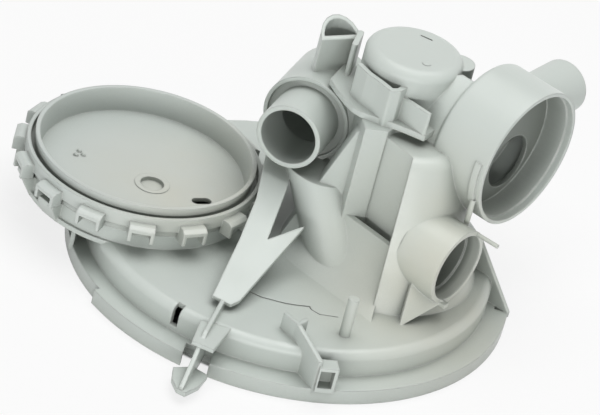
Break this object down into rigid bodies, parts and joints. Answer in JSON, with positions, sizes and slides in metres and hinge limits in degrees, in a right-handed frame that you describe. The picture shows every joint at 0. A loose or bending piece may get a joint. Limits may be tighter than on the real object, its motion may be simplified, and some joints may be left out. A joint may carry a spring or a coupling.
{
  "type": "dishwasher sump",
  "caption": "Moulded dishwasher sump with a round flanged basin, conical well, pump sockets, hose stubs and a clipped round lid over a side chamber; cracked across the basin.",
  "frame": {"origin": "centre of the basin's bore on the flange's seat plane", "axes": "+Z from the seat plane to the well's cap, which is the machine's underside; +Y to the back of the picture; +X to its right"},
  "size_m": [0.3105, 0.28, 0.148],
  "materials": {
    "sump_plastic": "satin",
    "lid_plastic": "satin"
  },
  "bodies": {
    "root": {"sump_body": "sump_plastic", "chamber_lid": "lid_plastic"}
  },
  "joints": []
}
